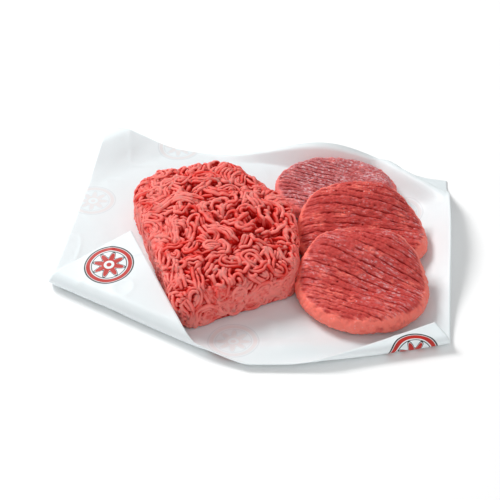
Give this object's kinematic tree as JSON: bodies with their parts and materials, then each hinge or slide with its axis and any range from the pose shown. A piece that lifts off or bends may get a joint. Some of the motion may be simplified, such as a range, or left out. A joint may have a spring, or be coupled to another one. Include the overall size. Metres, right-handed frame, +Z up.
{
  "type": "butcher paper meat pack",
  "caption": "Block of minced beef beside overlapping ridged beef patties, laid out on a sheet of white butcher's paper with its near corners folded over.",
  "frame": {"origin": "on the underside of the paper sheet, where it lies flat on the table, near the middle of the pack", "axes": "+Z up, +X to the right along the sheet's longest side, from the minced beef to the patties, +Y away from the side that the pack is seen from"},
  "size_m": [0.3116, 0.2742, 0.0414],
  "materials": {
    "waxed_paper": "satin",
    "minced_beef": "moist satin, raw minced beef",
    "beef_patty": "moist satin, raw pressed beef"
  },
  "bodies": {
    "root": {"paper_sheet": "waxed_paper", "mince_block": "minced_beef", "patty_far": "beef_patty", "patty_middle": "beef_patty", "patty_near": "beef_patty"}
  },
  "joints": []
}
